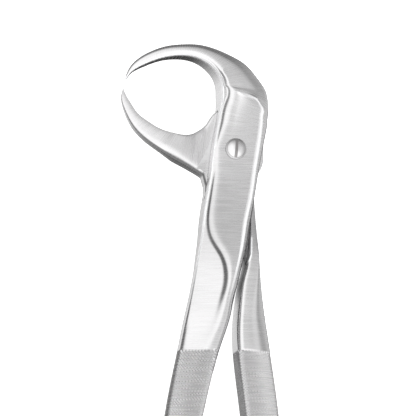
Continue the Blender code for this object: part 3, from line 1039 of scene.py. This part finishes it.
    def _loop(self, corners: np.ndarray, rounds: np.ndarray, even: float) -> np.ndarray:
        """Draw a section's outline.

        Args:
            corners: Its nine corners.
            rounds: How far each corner's rounding reaches.
            even: From 0, points gathered at the corners, to 1, evenly spaced.

        Returns:
            The points.
        """
        count = len(corners)
        edges = np.roll(corners, -1, axis=0) - corners
        lengths = np.maximum(np.linalg.norm(edges, axis=1), 1e-6)
        ways = edges / lengths[:, None]
        t = np.linspace(0.0, 1.0, self.corner_steps + 1)[:, None]
        loop = []
        for i in range(count):
            start = corners[i] - ways[i - 1] * min(rounds[i], 0.44 * lengths[i - 1])
            end = corners[i] + ways[i] * min(rounds[i], 0.44 * lengths[i])
            loop.append((1 - t)**2 * start + 2 * t * (1 - t) * corners[i] + t * t * end)
            following = (i + 1) % count
            after = corners[following] - ways[i] * min(rounds[following], 0.44 * lengths[i])
            share = np.arange(1, self.edge_steps[i])[:, None] / self.edge_steps[i]
            loop.append(end + (after - end) * share)
        points = np.concatenate(loop)
        if even <= 0.0:
            return points
        closed = np.concatenate((points, points[:1]))
        girth = np.concatenate(((0.0,), np.cumsum(np.linalg.norm(np.diff(closed, axis=0),
                                                                 axis=1))))
        spread = np.linspace(0.0, girth[-1], len(points), endpoint=False)
        wanted = girth[:-1] + (spread - girth[:-1]) * even
        return np.stack([np.interp(wanted, girth, closed[:, axis]) for axis in range(3)], axis=1)

    def _bowed(self, row: np.ndarray, bow: float) -> np.ndarray:
        """Crown the joint face of a row, its edges staying where they are.

        Args:
            row: The row's points.
            bow: How far the face's middle rises.

        Returns:
            The row, crowned.
        """
        first, last = self._corner_columns(3)[-1], self._corner_columns(4)[0]
        middle = (row[first, :2] + row[last, :2]) / 2
        reach = np.linalg.norm(row[last, :2] - row[first, :2]) / 2
        away = np.linalg.norm(row[first:last + 1, :2] - middle, axis=1) / max(reach, 1e-6)
        row[first:last + 1, 2] += bow * (1 - np.minimum(away, 1.0)**2)
        return row

    def _corner_columns(self, corner: int) -> range:
        """Return the columns that a corner's rounding takes up."""
        first = corner * (self.corner_steps + 1) + sum(s - 1 for s in self.edge_steps[:corner])
        return range(first, first + self.corner_steps + 1)

    def _burnish_highlight(self, rows: list[np.ndarray], knots: np.ndarray, places: np.ndarray,
                 face_top: int | None) -> np.ndarray:
        """Say how much painted highlight each point gets: the burnished rims and the joint face's
        edges.

        Args:
            rows: The points of each row.
            knots: Distance of each section along the half.
            places: Distance of each row.
            face_top: The section that starts the joint face.

        Returns:
            A value from 0 to 1 for each row and column.
        """
        start = self._grip_start(knots)
        fade = 1 - eased(places, start - 24.0, start)
        values = fade[:, None] * self.rim_highlight * self._near(rows, 1, 0.60)
        if face_top is not None:
            edge = knots[face_top]
            on_face = eased(places, edge - 0.6, edge) * fade
            values = np.maximum(values, on_face[:, None] * self._near(rows, 4, 0.55))
            low = edge - self.top_edge_width
            ahead = np.exp(-((places - (low + edge) / 2) / (0.7 * self.top_edge_width))**2)
            first, last = self._corner_columns(3)[-1], self._corner_columns(4)[-1]
            values[:, first:last] = np.maximum(values[:, first:last], ahead[:, None])
        return values

    def _near(self, rows: list[np.ndarray], corner: int, reach: float) -> np.ndarray:
        """Say how near each point is to the middle of a corner's rounding.

        Args:
            rows: The points of each row.
            corner: The corner.
            reach: The distance where the value has fallen to nothing.

        Returns:
            A value from 0 to 1 for each row and column.
        """
        points = np.array(rows)
        middle = points[:, self._corner_columns(corner)[self.corner_steps // 2]]
        away = np.linalg.norm(points - middle[:, None], axis=2)
        return 1 - eased(away, 0.45 * reach, reach)

    def _painted_shade(self, row_y: float, column: int) -> float:
        """Say how much painted shade a face of the skin gets: none, unless a half says so."""
        return 0.0

    def _grip_share(self, row: np.ndarray) -> np.ndarray:
        """Say which points of a row are on the toothed part.

        Args:
            row: The row's points.

        Returns:
            1 on the toothed part and 0 off it.
        """
        if not self.teeth.end_y < row[:, 1].mean() < self.teeth.start_y:
            return np.zeros(len(row))
        reach = np.abs(row[:, 0] - row[0, 0]) / np.ptp(row[:, 0])
        return (reach < self.teeth.wrap).astype(float)

    @staticmethod
    def _dome(row: np.ndarray, heading: np.ndarray, length: float,
              steps: int) -> list[np.ndarray]:
        """Close an end in a dome.

        Args:
            row: The end's last row.
            heading: The way the dome points.
            length: How far it stands out.
            steps: How many rows it has.

        Returns:
            The dome's rows.
        """
        centre = row.mean(axis=0)
        way = heading / np.linalg.norm(heading)
        rows = []
        for i in range(1, steps + 1):
            angle = math.radians(84) * i / steps
            middle = centre + way * length * math.sin(angle)
            rows.append(middle + (row - centre) * math.cos(angle)**0.8)
        return rows


@dataclass
class FrontHalf(Forging):
    """Upper beak, front joint plate and left handle."""

    name: str = "front_half_steel"
    body: str = "front"

    def sections(self) -> tuple[list, int | None]:
        """Return the rows from the beak's tip to the handle's end."""
        tip, bend, shoulder = Crown.TIP, Crown.BEND, Crown.SHOULDER
        horn = [
            HornRow(-33.40, 21.35, -33.70, 21.60, 0.35),
            HornRow(-32.70, 22.50, -33.15, 23.35, 1.30),
            HornRow(-31.30, 24.15, -31.85, 25.90, 2.15, 0.00, tip, 0.0, bend, 0.35),
            HornRow(-28.00, 26.05, -28.90, 28.70, 3.10, 0.00, tip, 0.0, bend, 0.25),
            HornRow(-24.35, 27.60, -25.00, 30.85, 3.70, 0.00, tip, 0.0, bend, 0.15),
            HornRow(-20.80, 28.60, -20.80, 32.30, 4.20, 0.00, tip, 0.1, bend, 0.05),
            HornRow(-17.05, 29.05, -16.30, 32.95, 4.60, 0.05, tip, 0.2, bend, 0.05),
            HornRow(-13.30, 28.80, -11.40, 33.10, 4.90, 0.10, tip, 0.4, bend, 0.05),
            HornRow(-9.85, 27.60, -6.20, 32.10, 5.20, 0.20, tip, 0.6, bend, 0.10),
            HornRow(-7.10, 25.62, -0.90, 30.05, 5.45, 0.35, tip, 0.8, bend, 0.20),
            HornRow(-5.30, 23.50, 4.00, 27.20, 5.60, 0.55, bend, 0.0, bend, 0.35),
            HornRow(-4.30, 21.35, 7.70, 22.95, 5.75, 0.80, bend, 0.2, shoulder),
            HornRow(-4.08, 19.90, 10.20, 18.85, 5.80, 0.95, bend, 1.0, shoulder),
        ]
        face = [
            FaceRow(-3.97, 18.30, 10.85, 13.35, 1.4, 1.4, 4.5, 1.1, 0.95, 3.0, 0.5, 1.0, 1.0),
            FaceRow(-3.95, 16.90, 10.80, 11.75, 1.3, 1.4, 2.55, 1.1, 0.95, 3.0, 0.5, 0.8, 1.0),
            FaceRow(-4.00, 15.20, 10.60, 10.20, 0.75, 1.6, 2.3, 1.25, 0.95, 3.0, 0.5, 0.6, 0.9),
            FaceRow(-4.70, 12.00, 10.50, 8.60, 0.5, 1.6, 2.25, 1.25, 0.95, 2.8, 0.5, 0.3, 0.1),
            FaceRow(-5.20, 9.00, 10.25, 7.00, 0.5, 1.5, 2.1, 1.15, 0.9, 2.6, 0.5, 0.1),
            FaceRow(-6.10, 4.60, 9.65, 4.20, 0.5, 1.1, 1.85, 0.75, 0.6, 2.3),
            FaceRow(-6.80, 0.50, 8.80, 0.30, 0.5, 0.9, 1.6, 0.35, 0.3, 2.0),
            FaceRow(-7.45, -4.90, 7.80, -4.90, 0.65, 1.2, 1.45, 0.4, 0.4, 1.8),
            FaceRow(-7.95, -9.60, 7.00, -9.60, 0.55, 1.1, 1.3, 0.8, 0.7, 1.6),
            FaceRow(-8.95, -15.80, 5.95, -15.80, 0.6, 1.1, 1.25, 1.0, 0.9, 1.5),
            FaceRow(-9.85, -22.10, 4.65, -22.10, 0.75, 1.2, 1.35, 1.15, 1.1, 1.2, 0.8),
            FaceRow(-10.50, -28.30, 3.75, -28.30, 2.5, 1.7, 1.4, 1.4, 2.0, 1.0, 1.6),
            FaceRow(-11.20, -32.90, 2.85, -32.90, 6.1, 1.5, 1.4, 1.5, 3.0, 0.9, 2.4),
            FaceRow(-11.90, -37.60, 1.75, -37.60, 8.2, 1.4, 1.4, 1.5, 3.7, 0.9, 3.1),
            FaceRow(-12.60, -41.50, 0.85, -41.50, 8.8, 1.4, 1.4, 1.35, 3.6, 1.0, 3.2),
            FaceRow(-13.50, -46.00, -0.30, -46.00, 8.5, 1.6, 1.4, 1.15, 3.2, 1.2, 3.0),
        ]
        grip = [
            GripRow(0.066, -14.90, -1.60, 0.80),
            GripRow(0.153, -16.60, -4.20, 0.50),
            GripRow(0.284, -19.20, -7.60, 0.20),
            GripRow(0.426, -21.50, -10.40, 0.05),
            GripRow(0.590, -23.30, -12.40),
            GripRow(0.732, -23.60, -12.90),
            GripRow(0.874, -22.90, -12.60),
            GripRow(1.000, -21.50, -11.70),
        ]
        return horn + face + grip, len(horn)

    def cutters(self) -> list[bpy.types.Object]:
        """Return the space of the rear half's lap, and the bore."""
        reach = self.cutter_reach
        shoulder = arc(JOINT.disc_radius + JOINT.turn_gap, 170.0, -10.0, 240)
        lower = set_off(RearHalf().lap_line(), JOINT.turn_gap)
        lower = [(-reach, lower[0][1])] + lower
        outline = shoulder + [(reach, shoulder[-1][1]), (reach, lower[-1][1])] + lower[::-1]
        outline.append((-reach, shoulder[0][1]))
        top = JOINT.mid + JOINT.lap_gap / 2
        return [prism("rear_half_space", outline, -reach, top), self.bore()]

    def rim_line(self, first: int, last: int) -> list[Point]:
        """Return the plan points left of the face rows' rims, a gap away."""
        sections, face_top = self.sections()
        rows = sections[face_top:][first:last]
        return [(row.rim_x - JOINT.turn_gap - row.lean / 2, row.rim_y) for row in rows]


@dataclass
class RearHalf(Forging):
    """Lower beak, rear joint plate and right handle."""

    name: str = "rear_half_steel"
    body: str = "rear"
    rim_highlight: float = 0.3
    disc_angles: tuple[float, float] = (114.0, 44.0)
    disc_side: tuple[Point, Point] = ((-9.25, -7.65), (-8.50, -10.30))
    neck_edge: tuple[Point, ...] = ((1.8, -39.5), (4.2, -32.6), (4.5, -28.0), (4.9, -21.0),
                                    (6.5, -13.0))
    neck_shade: Point = (41.0, 49.0)

    def laps(self) -> list[LapRow]:
        """Return the rows from the joint plate to the neck."""
        return [
            LapRow(9.90, 3.00, -8.50, -11.40),
            LapRow(9.85, -1.20, -8.50, -12.40),
            LapRow(9.00, -4.90, -8.55, -13.40),
            LapRow(7.30, -7.70, -8.65, -14.50),
            LapRow(6.70, -12.00, -6.60, -17.70, 0.10),
            LapRow(6.80, -19.50, -3.20, -22.90, 0.41, 0.0, 0.8),
            LapRow(7.05, -27.00, 0.30, -27.90, 0.76, 0.0, 1.0, 0.8),
            LapRow(7.40, -33.00, 3.60, -32.50, 0.97, 0.0, 1.2, 0.4),
        ]

    def lap_line(self) -> list[Point]:
        """Return the lower edge of the lap, from the root to the handle."""
        return [(row.side_x, row.side_y) for row in self.laps()[3:]]

    def sections(self) -> tuple[list, int | None]:
        """Return the rows from the beak's tip to the handle's end."""
        crown, root = Crown.REAR, Crown.ROOT
        horn = [
            HornRow(-33.92, 18.75, -34.24, 18.55, 0.35, 0.00, crown),
            HornRow(-33.30, 17.00, -34.75, 16.35, 0.90, 0.00, crown),
            HornRow(-31.40, 13.45, -34.00, 12.20, 1.70, 0.00, crown),
            HornRow(-29.70, 10.90, -32.75, 9.10, 2.30, 0.00, crown, 0.1, root),
            HornRow(-27.00, 8.70, -30.60, 5.65, 2.80, 0.00, crown, 0.3, root),
            HornRow(-23.50, 6.50, -27.25, 2.45, 3.20, 0.10, crown, 0.6, root),
            HornRow(-19.50, 5.15, -23.15, -0.40, 3.50, 0.30, crown, 1.0, root),
        ]
        bases = [
            LapRow(-15.80, 4.75, -18.65, -2.80, 0.43, 1.5, 2.4),
            LapRow(-12.90, 5.20, -14.65, -4.60, 0.24, 0.6, 2.4),
            LapRow(-10.60, 6.50, -11.80, -6.00, 0.08, 0.1, 2.2),
            LapRow(-8.10, 8.60, -10.10, -6.95, 0.00, 0.0, 1.6),
        ]
        edge = arc(JOINT.disc_radius, *self.disc_angles, steps=6)
        sides = np.linspace(*self.disc_side, len(edge))
        disc = [LapRow(*rim, float(side[0]), float(side[1])) for rim, side in zip(edge, sides)]
        neck = [NeckRow(7.95, -39.50, 2.60, 0.35), NeckRow(8.85, -46.00, 1.40, 0.75)]
        grip = [
            GripRow(0.066, 9.85, 0.70),
            GripRow(0.153, 11.10, 0.60),
            GripRow(0.284, 12.90, 1.80),
            GripRow(0.426, 14.50, 3.40),
            GripRow(0.590, 15.60, 4.70),
            GripRow(0.732, 15.50, 4.80),
            GripRow(0.874, 14.40, 4.10),
            GripRow(1.000, 12.60, 2.80),
        ]
        return horn + bases + disc + self.laps() + neck + grip, None

    def _painted_shade(self, row_y: float, column: int) -> float:
        """Say how much painted shade a face gets: the neck's inner side, where the front half
        shades it.
        """
        first, last = self._corner_columns(5)[-1], self._corner_columns(7)[0]
        if row_y > self.neck_edge[1][1] or not first - 1 <= column < last:
            return 0.0
        return float(1 - eased(-row_y, *self.neck_shade))

    def cutters(self) -> list[bpy.types.Object]:
        """Return the space the front half turns in, and the bore."""
        reach = self.cutter_reach
        closed = FrontHalf().rim_line(0, 6)
        opened = [swung(p, -JOINT.opening_deg) for p in FrontHalf().rim_line(7, 12)]
        neck = [(x + JOINT.turn_gap, y) for x, y in self.neck_edge]
        outline = [(closed[0][0], reach)] + closed[1:] + opened
        outline += [(-reach, -reach), (-2.0, -reach - 12.0)]
        outline += neck + [(reach, neck[-1][1]), (reach, reach)]
        bottom = JOINT.mid - JOINT.lap_gap / 2
        return [prism("front_half_space", outline, bottom, reach), self.bore()]


@dataclass
class PivotScrew:
    """Slotted screw: domed head on the front face, tail flush at the back."""

    name: str = "pivot_screw_steel"
    head_radius: float = 3.25
    head_rise: float = 1.25
    rim_height: float = 0.12
    tail_chamfer: float = 0.3
    slot_width: float = 0.9
    slot_depth: float = 0.75
    slot_tilt_deg: float = 4.0
    edge_round: float = 0.07
    sides: int = 128
    sharp_deg: float = 35.0

    def build(self, finish: SteelFinish, steel: bpy.types.Material) -> bpy.types.Object:
        """Turn, slot and dress the screw.

        Args:
            finish: The finish it wears; not used.
            steel: That finish's material.

        Returns:
            The finished piece, riding on the rear half's body.
        """
        shank, seat = JOINT.shank_radius, JOINT.depth + JOINT.bore_gap
        dome_low = seat + self.rim_height
        rise = JOINT.depth + self.head_rise - dome_low
        dome = [(self.head_radius * share, dome_low + rise * (1 - share**2.2))
                for share in np.linspace(0.995, 0.02, 30)]
        foot = self.edge_round
        profile = [(0.35 * shank, 0.12), (0.5 * shank, 0.0), (shank - self.tail_chamfer, 0.0),
                   (shank, self.tail_chamfer), (shank, seat), (self.head_radius - foot, seat),
                   (self.head_radius, seat + foot)]
        screw = lathe("screw_blank", profile + dome, self.sides)
        reach = self.head_radius + 1.0
        corners = [(-self.slot_width / 2, -reach), (self.slot_width / 2, -reach),
                   (self.slot_width / 2, reach), (-self.slot_width / 2, reach)]
        outline = [swung(corner, -self.slot_tilt_deg) for corner in corners]
        top = JOINT.depth + self.head_rise
        slot = prism("slot_cutter", outline, top - self.slot_depth, top + 5.0)
        piece = finished(screw, self.name, [slot], self.sharp_deg)
        piece.data.materials.clear()
        piece.data.materials.append(steel)
        self._paint_recess_shade(piece.data, top - self.slot_depth)
        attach(piece, "rear")
        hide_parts("pivot_screw")
        return piece

    def _paint_recess_shade(self, mesh: bpy.types.Mesh, slot_floor: float) -> None:
        """Paint shade where the screw falls in shadow: the slot's floor and the head's foot.

        Args:
            mesh: The screw's mesh.
            slot_floor: Height of the slot's floor.
        """
        recess_shade = mesh.attributes.new("recess_shade", "FLOAT", "POINT")
        for vert in mesh.vertices:
            radius, height = vert.co.xy.length / MM, vert.co.z / MM
            on_floor = abs(height - slot_floor) < 0.02 and radius < self.head_radius - 0.05
            at_foot = radius > self.head_radius - 0.2 and height < JOINT.depth + 0.2
            recess_shade.data[vert.index].value = 1.0 if on_floor or at_foot else 0.0


# -------------------------------------------------------------------- studio
@dataclass
class Studio:
    """A pale table in a bright tent, and the camera above it."""

    tilt_deg: float = 10.0
    distance: float = 1.3
    frame_mm: float = 127.0
    aim_mm: tuple[float, float, float] = (0.0, 0.0, 13.0)
    shift_mm: tuple[float, float] = (-8.73, -18.26)
    floor_half: float = 3.0
    floor_drop: float = 0.15
    wall: tuple[Point, ...] = ((-1.0, 0.42), (-0.6, 0.32), (-0.15, 0.20), (0.25, 0.18),
                               (0.6, 0.55), (0.90, 0.66), (1.0, 0.68))
    glow_way: Point = (-0.8, -0.6)
    front_glow: float = 0.65
    right_glow: float = 0.45
    side_glow: float = 0.28
    bounce_way: Point = (-0.7, 0.7)
    bounce: float = 1.5
    dimmest: float = 0.05

    def build(self) -> None:
        """Set the table, the backdrop, the tent, the lamp and the camera."""
        self._floor()
        self._backdrop()
        self._tent()
        self._lamp()
        self._camera()

    def _looking(self) -> Vector:
        """Return the way from the object to the camera."""
        lean = -math.tan(math.radians(self.tilt_deg))
        return Vector((lean, lean, 1.0)).normalized()

    def _camera(self) -> None:
        """Place the camera."""
        ahead = self._looking()
        right = Vector((0, 1, 0)).cross(ahead).normalized()
        up = ahead.cross(right)
        camera = bpy.data.cameras.new("camera")
        camera.sensor_width = 36.0
        camera.lens = camera.sensor_width * self.distance / (self.frame_mm * MM)
        camera.clip_end = 30.0
        thing = bpy.data.objects.new("camera", camera)
        bpy.context.scene.collection.objects.link(thing)
        aim = Vector(self.aim_mm) + right * self.shift_mm[0] + up * self.shift_mm[1]
        thing.matrix_world = Matrix((right, up, ahead)).transposed().to_4x4()
        thing.matrix_world.translation = aim * MM + ahead * self.distance
        bpy.context.scene.camera = thing

    def _floor(self) -> None:
        """Lay the pale table top."""
        body = bmesh.new()
        half = self.floor_half
        corners = ((-half, -half), (half, -half), (half, half), (-half, half))
        body.faces.new([body.verts.new((x, y, -self.floor_drop * MM)) for x, y in corners])
        floor = new_object("table_top", closed_mesh("table_top", body))
        floor.data.materials.append(self._paint("table_paint", 0.9, 0.9, 1.0, 0.8))
        floor.visible_glossy = False

    def _backdrop(self) -> None:
        """Close the view behind the table with a pale dome that lights nothing."""
        body = bmesh.new()
        bmesh.ops.create_icosphere(body, subdivisions=4, radius=2 * self.floor_half)
        mesh = bpy.data.meshes.new("backdrop")
        body.to_mesh(mesh)
        body.free()
        dome = new_object("backdrop", mesh)
        mesh.materials.append(self._paint("backdrop_cloth", 0.0, 0.5, 0.94, 1.0))
        dome.visible_glossy = dome.visible_diffuse = dome.visible_shadow = False

    @staticmethod
    def _paint(name: str, base: float, roughness: float, glow: float,
               strength: float) -> bpy.types.Material:
        """Mix a matt grey that glows by itself.

        Args:
            name: The material's name.
            base: Its grey.
            roughness: Its roughness.
            glow: The grey it glows in.
            strength: How strongly it glows.

        Returns:
            The material.
        """
        paint = bpy.data.materials.new(name)
        paint.use_nodes = True
        sockets = paint.node_tree.nodes["Principled BSDF"].inputs
        sockets["Base Color"].default_value = (base, base, base, 1.0)
        sockets["Roughness"].default_value = roughness
        sockets["Specular IOR Level"].default_value = 0.0
        sockets["Emission Color"].default_value = (glow, glow, glow, 1.0)
        sockets["Emission Strength"].default_value = strength
        return paint

    def _tent(self) -> None:
        """Light the tent: white in front on the left, some glow on the right, greyer elsewhere."""
        world = bpy.data.worlds.new("tent")
        world.use_nodes = True
        graph = Graph(world.node_tree)
        way = graph.node("ShaderNodeTexCoord").outputs["Generated"]
        across, front, up = graph.node("ShaderNodeSeparateXYZ", Vector=way).outputs
        wall = graph.nodes.new("ShaderNodeValToRGB")
        wall.color_ramp.interpolation = "EASE"
        marks = wall.color_ramp.elements
        while len(marks) < len(self.wall):
            marks.new(0.5)
        for mark, (spot, light) in zip(marks, self.wall):
            mark.position = (spot + 1) / 2
            mark.color = (light, light, light, 1.0)
        graph.feed(wall.inputs["Fac"], graph.mapped(up, (-1.0, 1.0)))

        ahead = self._looking()
        aside = graph.vector("SUBTRACT", way, (-ahead.x, -ahead.y, 0.0)).outputs[0]
        aside = graph.vector("MULTIPLY", aside, (1.0, 1.0, 0.0)).outputs[0]
        tilt = graph.vector("LENGTH", aside).outputs["Value"]
        aim = graph.vector("NORMALIZE", aside).outputs[0]
        turn = graph.vector("DOT_PRODUCT", aim, (*self.glow_way, 0.0)).outputs["Value"]
        turned = graph.eased(turn, (-0.45, 0.35))
        tilted = graph.eased(tilt, (0.05, 0.32), (0.0, self.front_glow))
        tilted = graph.product(tilted, graph.eased(up, (0.45, 0.78)))
        glow = graph.product(turned, tilted, wall.outputs["Color"])

        right = graph.eased(across, (0.45, 0.95))
        low = graph.eased(up, (0.50, 0.15), (0.0, self.right_glow))
        glow = graph.product(right, low, glow)
        side = graph.eased(across, (0.38, 0.58), (0.0, self.side_glow))
        side = graph.product(side, graph.eased(front, (0.50, 0.30)))
        glow = graph.product(side, graph.eased(up, (0.45, 0.70)), glow)
        glow = graph.product(glow, graph.eased(front, (-0.30, -0.75), (1.0, 1.25)))
        slant = graph.vector("DOT_PRODUCT", way, (*self.bounce_way, 0.0)).outputs["Value"]
        below = graph.eased(up, (-0.60, -0.85), (0.0, self.bounce))
        glow = graph.math("MAXIMUM", graph.product(slant, below, glow), self.dimmest)
        background = graph.nodes["Background"]
        background.inputs["Color"].default_value = (1.0, 1.0, 1.0, 1.0)
        graph.feed(background.inputs["Strength"], glow)
        bpy.context.scene.world = world

    def _lamp(self) -> None:
        """Hang a soft lamp that whitens the table and is not mirrored in steel."""
        light = bpy.data.lights.new("table_lamp", "AREA")
        light.shape = "DISK"
        light.size = 3.0
        light.energy = 60.0
        lamp = bpy.data.objects.new("table_lamp", light)
        bpy.context.scene.collection.objects.link(lamp)
        lamp.location = (0.0, 0.0, 3.0)
        lamp.visible_glossy = False
        lamp.visible_camera = False


def main() -> None:
    """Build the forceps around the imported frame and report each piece."""
    logging.basicConfig(level=logging.INFO, format="%(name)s: %(message)s")
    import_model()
    bpy.context.scene.view_settings.view_transform = "Standard"

    satin, turned = SATIN.material(), TURNED.material()
    for half in (FrontHalf(), RearHalf()):
        piece = half.build(SATIN, satin)
        LOG.info("%s: %d faces on %s", piece.name, len(piece.data.polygons), half.body)
    screw = PivotScrew().build(TURNED, turned)
    LOG.info("%s: %d faces on rear", screw.name, len(screw.data.polygons))
    Studio().build()
    LOG.info("studio set")


if __name__ == "__main__":
    main()
